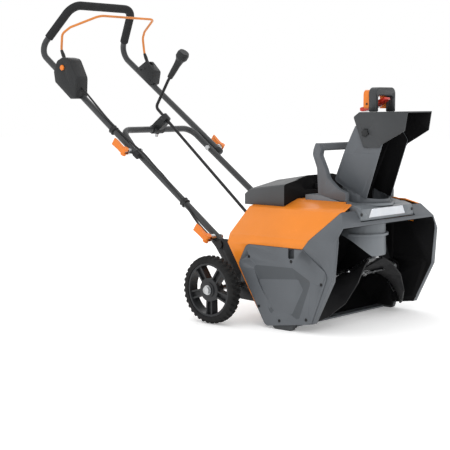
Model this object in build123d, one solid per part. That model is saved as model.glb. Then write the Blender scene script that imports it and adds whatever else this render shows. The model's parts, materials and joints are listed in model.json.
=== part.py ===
from build123d import *
import math
import os

# Single stage cordless snowblower. Millimetres, +Z up, ground at Z = 0.
# The auger opening faces -Y, the operator stands at +Y, X = 0 is the plane of symmetry.
# Points are given from the front plane of the auger housing; every finished part is then moved
# back by ORIGIN_Y, which puts the origin under the middle of the whole machine.

# ---------------------------------------------------------------- driving dimensions
ORIGIN_Y = 607

BODY_X = 266          # half width of the body at its widest
COVER_X = 268         # outer face of the side covers
PLATE_OUT = 251       # side plates of the auger chamber
PLATE_IN = 247
WALL = 4

AUGER_Y, AUGER_Z = 145, 132
AUGER_R = 120
CHAMBER_R = 135
SHAFT_R = 10
BLADE_X = 236         # half length of the rubber blades

MOTOR_Y, MOTOR_Z = 304, 197
MOTOR_R = 32
MOTOR_PULLEY_R = 14
AUGER_PULLEY_R = 62   # ratio 62 / 14 to the motor pulley
BELT_X0, BELT_X1 = -258.5, -252.5

CHUTE_Y = 80          # vertical axis that the chute turns about
RING_R = 80
SLEEVE_R = 60
DUCT_TOP_R = 56
CHUTE_X = 64.5        # half width of the chute
HOOD_X = 69           # half width of the hood
HOOD_PIVOT = (38.5, 555.5)
TRIGGER_PIVOT = (50, 637)
RING_TEETH = 60
PINION_TEETH = 20
TOOTH_MODULE = 2.1
PINION_Y = CHUTE_Y + (RING_TEETH + PINION_TEETH) * TOOTH_MODULE / 2

WHEEL_Y, WHEEL_Z = 398, 100
WHEEL_R = 100
WHEEL_X0, WHEEL_X1 = 300, 338
RIM_R = 78
HUB_R = 34
AXLE_R = 8

TUBE_R = 10.5
TUBE_WALL = 1.5
FOLD_LOW = (478, 214)      # lower fold axis of the handle (Y, Z)
FOLD_MID = (850, 485.5)    # upper fold axis of the handle
LOW_TUBE_X = 175
UP_TUBE_X = 197
FOAM_R = 14.5
BAIL_R = 4
BAIL_PIVOT = (1151, 738)

ROD_R = 5
ROD_SLOPE = 39.5           # degrees from level
ROD_POINT = (893, 587.5)   # a point on the crank rod's axis

LID_HINGE = (389, 366)
LID_LEDGE = [(336, 366), (374, 366), (374, 357), (352, 336), (345, 346), (336, 355)]
LEVER_ANGLE = 36
LOW_CLAMP = (504.3, 232.9)
CABLE_R = 3

parts = {}


# ---------------------------------------------------------------- helpers
def keep(name, *shapes):
    """Store one node. Several shapes are separate solids of the same node."""
    solids = [solid for shape in shapes for solid in shape.solids()]
    parts[name] = solids[0] if len(solids) == 1 else Compound(children=solids)


def outline(points, radius=0):
    """A closed face in the sketch plane; radius is one value or one for each corner."""
    if radius == 0:
        return make_face(Polyline(*points, close=True))
    radii = radius if isinstance(radius, (list, tuple)) else [radius] * len(points)
    return make_face(FilletPolyline(*points, radius=radii, close=True))


def side_prism(points, x0, x1, radius=0):
    """A (Y, Z) outline carried along X from x0 to x1."""
    face = Plane.YZ.offset(x0) * outline(points, radius)
    return extrude(face, amount=x1 - x0, dir=(1, 0, 0))


def front_prism(points, y0, y1, radius=0):
    """An (X, Z) outline carried along Y from y0 to y1."""
    plane = Plane(origin=(0, y0, 0), x_dir=(1, 0, 0), z_dir=(0, -1, 0))
    return extrude(plane * outline(points, radius), amount=y1 - y0, dir=(0, 1, 0))


def plan_prism(points, z0, z1, radius=0):
    """An (X, Y) outline carried along Z from z0 to z1."""
    face = Plane.XY.offset(z0) * outline(points, radius)
    return extrude(face, amount=z1 - z0)


def block(x0, x1, y0, y1, z0, z1):
    return Pos((x0 + x1) / 2, (y0 + y1) / 2, (z0 + z1) / 2) * Box(x1 - x0, y1 - y0, z1 - z0)


def x_rod(y, z, r, x0, x1):
    """A round bar along X."""
    return Pos((x0 + x1) / 2, y, z) * Rot(0, 90, 0) * Cylinder(r, x1 - x0)


def z_rod(x, y, r, z0, z1):
    return Pos(x, y, (z0 + z1) / 2) * Cylinder(r, z1 - z0)


def bar(start, end, r):
    """A round bar between two points."""
    a, b = Vector(*start), Vector(*end)
    return extrude(Plane(origin=a, z_dir=b - a) * Circle(r), amount=(b - a).length)


def bent_tube(points, radii, r, inner=0):
    """A tube or rod of radius r along straight runs joined by tangent arcs."""
    path = FilletPolyline(*points, radius=radii)
    ring = Circle(r) - Circle(inner) if inner else Circle(r)
    return sweep(Plane(origin=path @ 0, z_dir=path % 0) * ring, path=path)


def mirrored(points):
    """A symmetric run of points: the given half on -X, then its mirror image on +X."""
    return [(-x, y, z) for x, y, z in points] + [(x, y, z) for x, y, z in reversed(points)]


def both_sides(shape):
    return [shape, mirror(shape, about=Plane.YZ)]


def along(point, angle, distance):
    """A (Y, Z) point at a distance from another, at an angle from +Y towards +Z."""
    return (point[0] + distance * math.cos(math.radians(angle)),
            point[1] + distance * math.sin(math.radians(angle)))


# ---------------------------------------------------------------- body envelope
BODY_SIDE = [(-5, 303), (29, 349), (41, 366), (330, 366), (347, 350), (383, 235),
             (239, 5), (74, 29), (69, 30), (7.5, 154), (0, 261)]
BODY_SECTION = [(-125, 362), (-205, 338), (-BODY_X, 262), (-BODY_X, -5),
                (BODY_X, -5), (BODY_X, 262), (205, 338), (125, 362)]
COVER_OUTLINE = [(107, 235.5), (310.5, 235.5), (341, 177), (239, 5), (74, 29), (17, 174)]
PANEL_OUTLINE = [(288, 179), (142, 182), (75, 149), (116, 37), (221, 45)]
SEAM = 304            # front zone of the body: Y + 0.83 Z below this


def inset_section(gap):
    return [(-124, 362 - gap), (-205 + 0.5 * gap, 338 - gap), (-BODY_X + gap, 262 - 0.5 * gap),
            (-BODY_X + gap, -20), (BODY_X - gap, -20), (BODY_X - gap, 262 - 0.5 * gap),
            (205 - 0.5 * gap, 338 - gap), (124, 362 - gap)]


def body_envelope():
    return side_prism(BODY_SIDE, -BODY_X, BODY_X) & front_prism(BODY_SECTION, -60, 420)


def front_zone(limit):
    """Everything in front of the slanted seam between the frame and the shroud."""
    return side_prism([(-60, -20), (limit + 16.6, -20), (limit - 348.6, 420), (-60, 420)], -300, 300)


def cover_pocket(gap):
    """The space that each side cover takes in the body."""
    face = Plane.YZ.offset(PLATE_OUT) * offset(outline(COVER_OUTLINE, [12, 20, 20, 20, 8, 26]), gap)
    return both_sides(extrude(face, amount=30, dir=(1, 0, 0)))


def boss(outer, shrink, x0, x1):
    """A pad with slanted sides between two (Y, Z) outlines, the smaller one at x1."""
    big = Plane.YZ.offset(x0) * outline(outer, 12)
    small = Plane.YZ.offset(x1) * offset(outline(outer, 12), -shrink)
    return loft([big.faces()[0], small.faces()[0]])


BODY = body_envelope()


# ---------------------------------------------------------------- auger housing
def duct_cone(extra):
    """Solid form of the discharge duct: wide at the auger, narrow at the flange, round at the chute ring."""
    top = Plane.XY.offset(326) * Pos(0, CHUTE_Y) * Circle(DUCT_TOP_R + extra)
    middle = Plane.XY.offset(262) * Pos(0, 98) * Circle(70 + extra)
    foot = Plane.XY.offset(200) * Pos(0, 127) * Circle(97 + extra)
    cone = loft([top.faces()[0], middle.faces()[0], foot.faces()[0]])
    return cone & block(-140, 140, 0, 147 + extra, 200, 330)


def duct_flange():
    """The half round flange around the narrow part of the duct."""
    return z_rod(0, 98, 81, 258, 265) & block(-150, 150, 0, 86, 250, 270)


def make_auger_housing():
    inside = side_prism([(-60, -20), (-60, 299), (-1, 299), (33, 345), (45, 361), (326, 361),
                         (342, 348), (377, 235), (225, -20)], -BODY_X, BODY_X)
    inside = inside & front_prism(inset_section(5), -60, 420)
    skin = (BODY & front_zone(SEAM)) - inside
    skin -= block(-128, 128, -20, 300, 311, 400)
    plate_side = [(0, 300), (-2, 261), (8, 154), (70, 32), (74, 30), (238, 9), (377, 235), (341, 346), (60, 346)]
    plate = side_prism(plate_side, PLATE_IN, PLATE_OUT) & front_prism(inset_section(4.6), -60, 420)
    lip = side_prism([(-5, 303), (0, 261), (7.5, 154), (69, 30), (84, 28), (21, 158), (13, 261), (12, 303)],
                     PLATE_IN, BODY_X, 3)
    sides = both_sides(plate + (lip & BODY))
    pad = boss([(240, 172), (146, 176), (40, 170), (24, 155), (62, 40), (125, 26), (222, 48)],
               10, -PLATE_IN, -PLATE_IN + 5)
    pads = both_sides(pad - x_rod(AUGER_Y, AUGER_Z, 30, -300, 300))
    bearing_seats = both_sides(x_rod(AUGER_Y, AUGER_Z, 24, 240, PLATE_IN))
    ring = x_rod(AUGER_Y, AUGER_Z, CHAMBER_R + WALL, -PLATE_IN, PLATE_IN)
    back = ring & block(-260, 260, AUGER_Y, 400, 8, 300)
    roof = side_prism([(-3, 303), (-3, 299), (AUGER_Y, 267), (AUGER_Y, 271)], -PLATE_IN, PLATE_IN)
    roof &= front_prism(inset_section(4.6), -60, 420)
    shell = skin + back + roof
    for extra in sides + pads + bearing_seats:
        shell += extra
    shell -= x_rod(AUGER_Y, AUGER_Z, CHAMBER_R, -240, 240)
    shell -= duct_cone(3.2)
    shell -= x_rod(AUGER_Y, AUGER_Z, 18, -260, 260)
    shell -= x_rod(MOTOR_Y, MOTOR_Z, 9, -260, -240)
    for pocket in cover_pocket(0.8):
        shell -= pocket
    shell -= deck_space()
    keep("auger_housing", max(shell.solids(), key=lambda s: s.volume))


def deck_space():
    """The room that the top deck and headlight block take in the body."""
    return block(-139, 139, -20, 60, 309, 400) + block(-126, 126, -20, 208, 340, 400)


def make_duct():
    shell = duct_cone(3) - duct_cone(0) - z_rod(0, CHUTE_Y, DUCT_TOP_R, 300, 340)
    shell -= x_rod(AUGER_Y, AUGER_Z, 131, -150, 150)
    shell = shell + (duct_flange() - duct_cone(0))
    keep("discharge_duct", max(shell.solids(), key=lambda s: s.volume))


def make_side_cover(name, side):
    outer = side_prism(COVER_OUTLINE, PLATE_OUT + 0.5, COVER_X, [12, 20, 20, 20, 8, 26])
    outer = chamfer(outer.faces().sort_by(Axis.X)[-1].edges(), 1.5)
    pocket_face = Plane.YZ.offset(PLATE_OUT) * offset(outline(COVER_OUTLINE, [12, 20, 20, 20, 8, 26]), -4)
    pocket = extrude(pocket_face, amount=14, dir=(1, 0, 0))
    panel_back = Plane.YZ.offset(261) * offset(outline(PANEL_OUTLINE, 12), 2)
    pocket -= extrude(panel_back, amount=10, dir=(1, 0, 0))
    big = Plane.YZ.offset(COVER_X + 0.1) * outline(PANEL_OUTLINE, 12)
    small_points = [(273, 137), (124, 150), (106, 123), (145, 48), (213, 54)]
    small = Plane.YZ.offset(263.5) * outline(small_points, 9)
    recess = loft([small.faces()[0], big.faces()[0]])
    shell = outer - pocket - recess
    shell -= side_prism([(157, 240), (157, 206), (135, 208), (135, 240)], 263, 270, [0.01, 4, 4, 0.01])
    for y, z in COVER_SCREWS:
        shell -= x_rod(y, z, 5, 265.2, 270)
    if side < 0:
        shell = mirror(shell, about=Plane.YZ)
    keep(name, shell)


COVER_SCREWS = [(146, 199), (41, 144), (187, 26), (92, 40), (300, 200), (262, 60)]


def make_skids():
    shoe = side_prism([(140, 21), (146, 3), (152, 0), (206, 0), (212, 3), (216, 8)], 248, 262, [1, 2, 4, 4, 2, 1])
    shoe &= side_prism([(90, 26.3), (90, -5), (239, -5), (239, 4.7)], 230, 270)
    keep("skid_shoes", *both_sides(shoe))


def make_scraper():
    keep("scraper_bar", side_prism([(168, 3.5), (217, 3.5), (222, 8), (168, 8)], -230, 230))


# ---------------------------------------------------------------- shroud, deck, carry handle
def make_rear_shroud():
    inner_side = [(-60, -20), (-60, 359), (328, 359), (342, 347), (379, 235), (230, -20)]
    inside = side_prism(inner_side, -300, 300) & front_prism(inset_section(3), -60, 420)
    shell = (BODY - front_zone(SEAM + 1)) - inside
    for pocket in cover_pocket(0.8):
        shell -= pocket
    shell -= block(-300, 300, -60, 450, -20, 53)
    shell -= deck_space() + block(-127, 127, -20, 209, 340, 400)
    shell -= block(-109, 109, 238, 335, 300, 400)
    shell -= bar((0, 372, 194), (0, 320, 151), 8)
    shell -= side_prism([(235, 53), (285, 53), (300, 72), (235, 72)], -BODY_X + 20, BODY_X - 20)
    shell += side_prism(LID_LEDGE, -182, 182)
    keep("rear_shroud", max(shell.solids(), key=lambda s: s.volume))


def make_top_deck():
    profile = [(29.5, 349), (150, 376), (206.5, 376), (206.5, 341), (29.5, 341)]
    plate = side_prism(profile, -125, 125)
    plate = chamfer(plate.edges().filter_by(Axis.X).group_by(Axis.Z)[-1], 2)
    hollow = side_prism([(45, 347), (148, 371.5), (201, 371.5), (201, 335), (45, 335)], -120, 120)
    floor = plan_prism([(-120, 45), (120, 45), (120, 201), (-120, 201)], 341, 347)
    head = side_prism([(5, 311), (5, 344), (29.5, 352), (48, 352), (48, 311)], -137, 137)
    head &= front_prism([(-137, 311), (-124, 352), (124, 352), (137, 311)], -10, 60)
    head -= side_prism([(20, 315), (20, 341), (44, 341), (44, 315)], -118, 118)
    head -= front_prism([(-94, 318), (-80, 343), (80, 343), (94, 318)], 0, 14.6, 2)
    deck = (plate - hollow) + floor + head
    deck -= z_rod(0, CHUTE_Y, RING_R + 4, 347, 400)
    deck -= z_rod(0, CHUTE_Y, SLEEVE_R + 0.6, 300, 400)
    deck -= z_rod(0, CHUTE_Y, SLEEVE_R + 6, 300, 341)
    deck -= z_rod(0, PINION_Y, 25, 320, 341)
    for x in (-129, 129):
        deck -= Pos(x, 5, 329) * Rot(90, 0, 0) * Cylinder(5.2, 4)
    keep("top_deck", max(deck.solids(), key=lambda s: s.volume))


def make_carry_handle():
    rear = [(161, 376.2), (166, 453), (182, 492), (179, 508), (172, 525), (158, 525), (153, 508),
            (157, 490), (139, 453), (128, 424), (96, 398), (66, 386), (66, 362), (161, 376.2)]
    post = side_prism(rear[:-1], 105, 124, [0.5, 30, 14, 6, 4, 4, 6, 14, 30, 30, 30, 3, 0.5])
    post -= side_prism([(20, 350.6), (149.9, 376.1), (200, 376.1), (200, 340), (20, 340)], 90, 130)
    post -= z_rod(0, CHUTE_Y, 98, 340, 440)
    bar_top = side_prism([(178, 503), (172, 525), (158, 525), (154, 503)], -110, 110, 5)
    handle = bar_top
    for leg in both_sides(post):
        handle += leg
    keep("carry_handle", handle)


def make_headlight():
    lens = front_prism([(-93.5, 318.5), (-79.5, 342.5), (79.5, 342.5), (93.5, 318.5)], 6, 8.5, 1.8)
    keep("headlight_lens", lens)
    board = front_prism([(-92, 319), (-79, 342), (79, 342), (92, 319)], 11, 12.6, 1.5)
    leds = [Pos(-60 + 20 * i, 10.2, 330.5) * Box(5, 1.6, 5) for i in range(7)]
    keep("headlight_board", board, *leds)


# ---------------------------------------------------------------- battery bay
def lid_loft(inset):
    """The domed lid as a solid; a positive inset gives the space inside its skin."""
    stations = [(234 + inset, 407, 429), (363, 389, 408), (382 - inset, 376, 388)]
    sections = []
    for y, z_side, z_top in stations:
        half = 190 - inset
        z_side -= inset
        z_top -= inset
        foot = 342 - 5 * inset
        points = [(-half, foot), (-half, z_side - 4), (-half + 6, z_side), (-60, z_top),
                   (60, z_top), (half - 6, z_side), (half, z_side - 4), (half, foot)]
        plane = Plane(origin=(0, y, 0), x_dir=(1, 0, 0), z_dir=(0, -1, 0))
        sections.append((plane * outline(points)).faces()[0])
    return loft(sections, ruled=True)


def make_battery_bay():
    keep_out = side_prism([(-60, -20), (-60, 367), (331, 367), (348, 351), (385, 235), (225, -20)], -300, 300)
    keep_out &= front_prism([(x, z + 0.8) for x, z in BODY_SECTION], -60, 420)
    keep_out = keep_out + block(-130, 130, -20, 232.8, 300, 400) + block(-186, 186, 377, 400, 300, 357)
    recess = front_prism([(-140, 440), (-92, 385), (92, 385), (140, 440)], 225, 247)
    backing = front_prism([(-144, 440), (-95, 382), (95, 382), (144, 440)], 234.5, 250)
    lid = lid_loft(0) - lid_loft(3)
    lid = lid + ((backing & lid_loft(0.5)) - recess)
    lid -= recess
    lid -= keep_out
    lid -= block(-27, 27, 230, 260, 386, 402)
    lid = max(lid.solids(), key=lambda s: s.volume)
    for x0 in (-150, 120):
        lid += x_rod(*LID_HINGE, 5, x0, x0 + 30) + block(x0, x0 + 30, 380, 387, 360, 371)
        lid -= x_rod(*LID_HINGE, 2.05, x0 - 1, x0 + 31)
    keep("battery_lid", lid)

    ear_side = [(362, 349), (372, 341), (386, 344), (394.5, 356), (394.5, 366), (383.6, 366),
                (383.6, 356.2), (374.2, 356.2)]
    ledge = side_prism(LID_LEDGE, -182, 182)
    ears = []
    for x0 in (-158, -119.5, 112, 150.5):
        ear = (side_prism(ear_side, x0, x0 + 7.5) - ledge) + x_rod(*LID_HINGE, 5.5, x0, x0 + 7.5)
        ears.append(ear - x_rod(*LID_HINGE, 2, x0 - 1, x0 + 9))
    pins = [x_rod(*LID_HINGE, 2, x0 - 8, x0 + 38) for x0 in (-150, 120)]
    keep("lid_hinges", *[max(ear.solids(), key=lambda s: s.volume) for ear in ears], *pins)

    latch = block(-26.5, 26.5, 236, 253, 386.6, 401.4) + block(-20, 20, 253, 255, 380, 406)
    latch -= block(-20, 20, 230, 239, 390, 398)
    keep("lid_latch", latch)

    tub = block(-107, 107, 240, 333, 280, 361.5) - block(-104, 104, 243, 330, 283, 380)
    dock = block(-30, 30, 262, 312, 283, 286.5)
    blades = [block(x - 1, x + 1, 266, 308, 286.5, 290) for x in (-18, -6, 6, 18)]
    keep("battery_tub", tub, dock, *blades)
    pack = block(-98, 98, 247, 326, 290.5, 352) + block(-70, 70, 252, 318, 352, 372)
    keep("battery_pack", chamfer(pack.edges().filter_by(Axis.Z), 2))


# ---------------------------------------------------------------- drive train
def make_motor():
    can = x_rod(MOTOR_Y, MOTOR_Z, MOTOR_R, -246.5, -166) - x_rod(MOTOR_Y, MOTOR_Z, 21, -243, -170)
    can -= x_rod(MOTOR_Y, MOTOR_Z, 6, -250, -160)
    for i in range(12):
        y, z = along((MOTOR_Y, MOTOR_Z), 30 * i + 15, 26.5)
        can -= x_rod(y, z, 2.5, -170.5, -160)
    keep("motor_stator", can)
    rotor = x_rod(MOTOR_Y, MOTOR_Z, 20.4, -240, -173) + x_rod(MOTOR_Y, MOTOR_Z, 5.9, -260.5, -164)
    pulley = x_rod(MOTOR_Y, MOTOR_Z, MOTOR_PULLEY_R, BELT_X0, BELT_X1)
    keep("motor_rotor", rotor, pulley - x_rod(MOTOR_Y, MOTOR_Z, 5.9, -270, -240))


def belt_face(extra):
    circles = Sketch() + Pos(AUGER_Y, AUGER_Z) * Circle(AUGER_PULLEY_R + extra)
    circles += Pos(MOTOR_Y, MOTOR_Z) * Circle(MOTOR_PULLEY_R + extra)
    return make_hull(circles.edges())


def make_belt():
    band = Plane.YZ.offset(BELT_X0 + 0.3) * (belt_face(2.8) - belt_face(0.4))
    keep("drive_belt", extrude(band, amount=BELT_X1 - BELT_X0 - 0.6, dir=(1, 0, 0)))


def auger_angle(x):
    """Twist of the rubber blades: the middle trails, the ends lead, so snow moves inwards."""
    across = min(abs(x), 165)
    return 147 + 0.0027 * across ** 2 + 0.45 * (abs(x) - across)


def blade(turn):
    """One rubber blade in each half: a twisted strip lofted through stations along X."""
    halves = []
    for side in (-1, 1):
        sections = []
        for x in (34, 70, 110, 150, 190, 214, BLADE_X):
            angle = auger_angle(x) + turn
            inner = 34 - 8 * (x / BLADE_X)
            outer = AUGER_R - 3
            corners = []
            for r, h in ((inner, -3), (outer, -3), (outer, 3), (inner, 3)):
                y, z = along((AUGER_Y, AUGER_Z), angle, r)
                corners.append(along((y, z), angle + 90, h))
            sections.append((Plane.YZ.offset(side * x) * outline(corners)).faces()[0])
        halves.append(loft(sections, ruled=True))
    return halves


def blade_frame_plate(angle, lift, near, far, half_thick, x0, x1):
    """A flat steel plate that lies along a radius of the auger."""
    base = along((AUGER_Y, AUGER_Z), angle + 90, lift)
    corners = []
    for r, h in ((near, -half_thick), (far, -half_thick), (far, half_thick), (near, half_thick)):
        corners.append(along(along(base, angle, r), angle + 90, h))
    return side_prism(corners, x0, x1)


def make_auger():
    blades = blade(0) + blade(180)
    keep("auger_blades", *blades)
    frame = x_rod(AUGER_Y, AUGER_Z, SHAFT_R, -260.5, 256) + x_rod(AUGER_Y, AUGER_Z, 17, -33, 33)
    bolts = []
    for turn in (0, 180):
        frame += blade_frame_plate(auger_angle(0) + turn, 0, 8, AUGER_R - 12, 2.5, -32, 32)
        for x in (-200, -80, 80, 200):
            angle = auger_angle(x) + turn
            frame += blade_frame_plate(angle, 6.2, 4, 78, 2, x - 8, x + 8)
            base = along((AUGER_Y, AUGER_Z), angle, 66)
            low, high = along(base, angle + 90, -8.5), along(base, angle + 90, -4.4)
            bolts.append(bar((x, *low), (x, *high), 6))
    for x in (-200, -80, 80, 200):
        frame += x_rod(AUGER_Y, AUGER_Z, 14, x - 8, x + 8)
    for strip in blades:
        frame -= strip
        bolts = [bolt - strip for bolt in bolts]
    keep("auger_frame", max(frame.solids(), key=lambda s: s.volume))
    keep("blade_bolts", *[max(bolt.solids(), key=lambda s: s.volume) for bolt in bolts])
    pulley = x_rod(AUGER_Y, AUGER_Z, AUGER_PULLEY_R, BELT_X0, BELT_X1)
    pulley -= x_rod(AUGER_Y, AUGER_Z, SHAFT_R, -270, -240)
    for i in range(6):
        y, z = along((AUGER_Y, AUGER_Z), 60 * i, 38)
        pulley -= x_rod(y, z, 11, -270, -240)
    keep("auger_pulley", pulley)
    seat = x_rod(AUGER_Y, AUGER_Z, 18, 241, 251) - x_rod(AUGER_Y, AUGER_Z, SHAFT_R + 0.05, 230, 260)
    keep("auger_bearings", *both_sides(seat))


def make_controller():
    case = block(20, 150, 268, 338, 216, 256)
    for i in range(8):
        case -= block(28 + 15 * i, 36 + 15 * i, 260, 345, 248, 260)
    keep("motor_controller", case)


# ---------------------------------------------------------------- chute
def gear(teeth, z0, z1, hole, centre_y, phase):
    """A spur gear with straight-sided teeth and generous backlash."""
    pitch = teeth * TOOTH_MODULE / 2
    root, tip = pitch - 1.25 * TOOTH_MODULE, pitch + 0.8 * TOOTH_MODULE
    points = []
    step = 360 / teeth
    for i in range(teeth):
        for r, share in ((root, -0.27), (tip, -0.11), (tip, 0.11), (root, 0.27)):
            angle = math.radians(phase + step * (i + share))
            points.append((r * math.cos(angle), centre_y + r * math.sin(angle)))
    blank = plan_prism(points, z0, z1)
    return blank - z_rod(0, centre_y, hole, z0 - 1, z1 + 1)


def hood_plan(inset):
    """The hood seen from above: straight sides that close in a little towards the mouth."""
    rear, mouth = HOOD_X - inset, HOOD_X - 6 - inset
    half = [(rear, 90), (rear, -25), (mouth, -100)]
    return plan_prism(half + [(-x, y) for x, y in reversed(half)], 480, 640)


def make_chute():
    ring = z_rod(0, CHUTE_Y, RING_R, 348, 355) + z_rod(0, CHUTE_Y, SLEEVE_R, 330, 349)
    ring += gear(RING_TEETH, 330, 338, SLEEVE_R - 2, CHUTE_Y, 90)
    keep("chute_ring", ring - z_rod(0, CHUTE_Y, DUCT_TOP_R, 320, 360))

    cut = side_prism([(-60, 355), (-40, 358), (36, 369), (100, 392), (150, 419), (190, 440), (190, 600), (-60, 600)],
                     -100, 100)
    collar = z_rod(0, CHUTE_Y, 68.5, 355, 430) - z_rod(0, CHUTE_Y, 65, 350, 440) - cut
    side = [(36, 368), (100, 391), (147, 417), (112, 505), (76, 575), (20, 588), (-19, 534)]
    channel = side_prism(side, -CHUTE_X, CHUTE_X, [4, 20, 8, 200, 8, 12, 6])
    bore = side_prism([(-60, 330), (36, 360), (100, 384), (141, 418), (108.5, 504), (73, 573), (73, 640), (-60, 640)],
                      -CHUTE_X + 3, CHUTE_X - 3, [0.5, 0.5, 20, 6, 200, 0.5, 0.5, 0.5])
    body = (channel - bore) + collar
    body -= z_rod(0, CHUTE_Y, 64.9, 350, 372)
    body -= x_rod(*HOOD_PIVOT, 4, -80, 80)
    keep("chute_body", max(body.solids(), key=lambda s: s.volume))

    hood_side = [(80, 600), (60, 614), (-97.5, 617), (-88.5, 563), (-15.5, 523), (-9, 514.4), (44.7, 513)]
    hood = side_prism(hood_side, -HOOD_X, HOOD_X, [6, 8, 1, 1, 6, 6, 8]) & hood_plan(0)
    inner = side_prism([(76, 580), (76, 598.5), (58.5, 610.5), (-120, 613.5), (-120, 480), (80, 480)],
                       -HOOD_X, HOOD_X, [0.5, 6, 8, 0.5, 0.5, 0.5])
    hood -= inner & hood_plan(3)
    hood -= x_rod(*HOOD_PIVOT, 4.2, -80, 80)
    keep("chute_hood", max(hood.solids(), key=lambda s: s.volume))
    bolt = x_rod(*HOOD_PIVOT, 3.9, 58, 69.8) + x_rod(*HOOD_PIVOT, 8, 69.6, 73.5) + x_rod(*HOOD_PIVOT, 7, 56.5, 61.3)
    pin = x_rod(*TRIGGER_PIVOT, 2.5, -48.5, 48.5)
    keep("hood_pins", *both_sides(bolt), pin)

    frame = [(-50, 612), (-50, 684), (50, 684), (50, 612)]
    hole = [(-37, 600), (-37, 660), (37, 660), (37, 600)]
    grip = front_prism(frame, 16, 42, [0.5, 18, 18, 0.5]) - front_prism(hole, 0, 60, [0.5, 8, 8, 0.5])
    grip -= side_prism([(70, 600), (60, 614.3), (-97.5, 617.3), (-97.5, 590)], -60, 60)
    keep("hood_handle", *grip.solids())
    trim = front_prism([(-46, 624), (-46, 677), (46, 677), (46, 624)], 42, 62, [4, 14, 14, 4])
    trim -= front_prism([(-37, 600), (-37, 660), (37, 660), (37, 600)], 30, 70, [0.5, 8, 8, 0.5])
    keep("hood_handle_trim", *(trim - pin).solids())
    lever = side_prism([(96, 617), (96, 626), (62, 634), (56, 643), (44, 644), (14, 657), (10, 650), (40, 630),
                        (58, 622), (88, 615)], -14, 14, 2.5)
    keep("hood_trigger", lever - x_rod(*TRIGGER_PIVOT, 2.6, -60, 60))


def make_chute_drive():
    pinion = gear(PINION_TEETH, 329, 339, 3.95, PINION_Y, 90 + 9)
    keep("turn_pinion", pinion)
    route = [(0, 338, 178), (0, 300, 246), (0, 240, 266), (0, PINION_Y, 276), (0, PINION_Y, 318)]
    sheath = bent_tube(route, [26, 34, 24], 5, 2.6)
    axle = z_rod(0, PINION_Y, 3.9, 318.5, 340.6)
    keep("turn_cable_sheath", sheath, axle)
    case = side_prism([(327.5, 142), (370.5, 211), (388, 212), (394.8, 196.3), (415.2, 171.7), (400, 152), (350, 136)],
                      -30, 30, [0.5, 0.5, 6, 1, 1, 6, 6])
    case -= bar((0, 420, 195), (0, 385, 166), 9)
    slope = Vector(0, math.cos(math.radians(ROD_SLOPE)), math.sin(math.radians(ROD_SLOPE)))
    stub = extrude(Plane(origin=Vector(*rod_point(392)), z_dir=slope) * Circle(7), amount=19)
    keep("turn_gearbox", case - stub, stub)


# ---------------------------------------------------------------- wheels
def make_wheel(side, name):
    centre = (WHEEL_Y, WHEEL_Z)
    rim = x_rod(*centre, RIM_R, WHEEL_X0 + 2, WHEEL_X1 - 3) - x_rod(*centre, 72, WHEEL_X0, WHEEL_X1)
    rim += x_rod(*centre, 21, 290, WHEEL_X1 - 3) + x_rod(*centre, HUB_R, 322, WHEEL_X1 - 6)
    for i in range(5):
        angle = -90 + 72 * i
        for shift in (-8, 8):
            start = along(along(centre, angle, 20), angle + 90, shift)
            end = along(along(centre, angle, 74), angle + 90, shift * 1.25)
            corners = [along(p, angle + 90, h) for p, h in ((start, -2.5), (start, 2.5), (end, 2.5), (end, -2.5))]
            rim += side_prism(corners, 306, WHEEL_X1 - 7)
        web = [along(along(centre, angle, r), angle + 90, h) for r, h in ((20, -8), (20, 8), (74, 10), (74, -10))]
        rim += side_prism(web, 318, 323)
    rim -= x_rod(*centre, AXLE_R + 0.06, 280, 340)
    tyre = x_rod(*centre, WHEEL_R, WHEEL_X0, WHEEL_X1)
    tyre = fillet(tyre.edges().filter_by(GeomType.CIRCLE), 7)
    tyre -= x_rod(*centre, RIM_R, WHEEL_X0 - 5, WHEEL_X1 + 5)
    for piece, label in ((rim, "rim"), (tyre, "tyre")):
        keep(f"{label}_{name}", piece if side > 0 else mirror(piece, about=Plane.YZ))


def make_axle():
    shaft = x_rod(WHEEL_Y, WHEEL_Z, AXLE_R, -344, 344)
    nut = x_rod(WHEEL_Y, WHEEL_Z, 14, WHEEL_X1 - 2, WHEEL_X1 + 1) + x_rod(WHEEL_Y, WHEEL_Z, 11, WHEEL_X1, WHEEL_X1 + 7)
    keep("wheel_axle", shaft, *both_sides(nut - x_rod(WHEEL_Y, WHEEL_Z, AXLE_R, 330, 350)))


def make_brackets():
    ring = [(273.5, 58), (283, 53), (402, 57), (424, 84), (424, 112), (498, 206), (516, 222), (506, 236), (480, 230),
            (458, 232), (386, 228)]
    plate = side_prism(ring, 188, 192, [2, 6, 20, 14, 14, 10, 7, 7, 6, 8, 6])
    plate -= side_prism([(-60, -20), (-60, 360), (346.5, 351), (384.8, 235), (228.7, -20)], 150, 230)
    plate -= x_rod(*FOLD_LOW, 5.1, 180, 200)
    plate -= x_rod(WHEEL_Y, WHEEL_Z, AXLE_R, 180, 200)
    notch = side_prism([(499.3, 230), (509, 229), (503, 250), (489, 250)], 180, 200)
    plate -= notch + x_rod(504.3, 232.9, 4.6, 180, 200)
    foot = side_prism([(384.8, 230.5), (388.8, 228), (276.8, 52.8), (272.8, 55.3)], 192, 208)
    plate += foot & side_prism([(260, 62), (400, 62), (400, 226), (260, 226)], 150, 230)
    keep("axle_brackets", *both_sides(plate))


# ---------------------------------------------------------------- handle
LOW_LEG_BEND = (866, 493)


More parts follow.
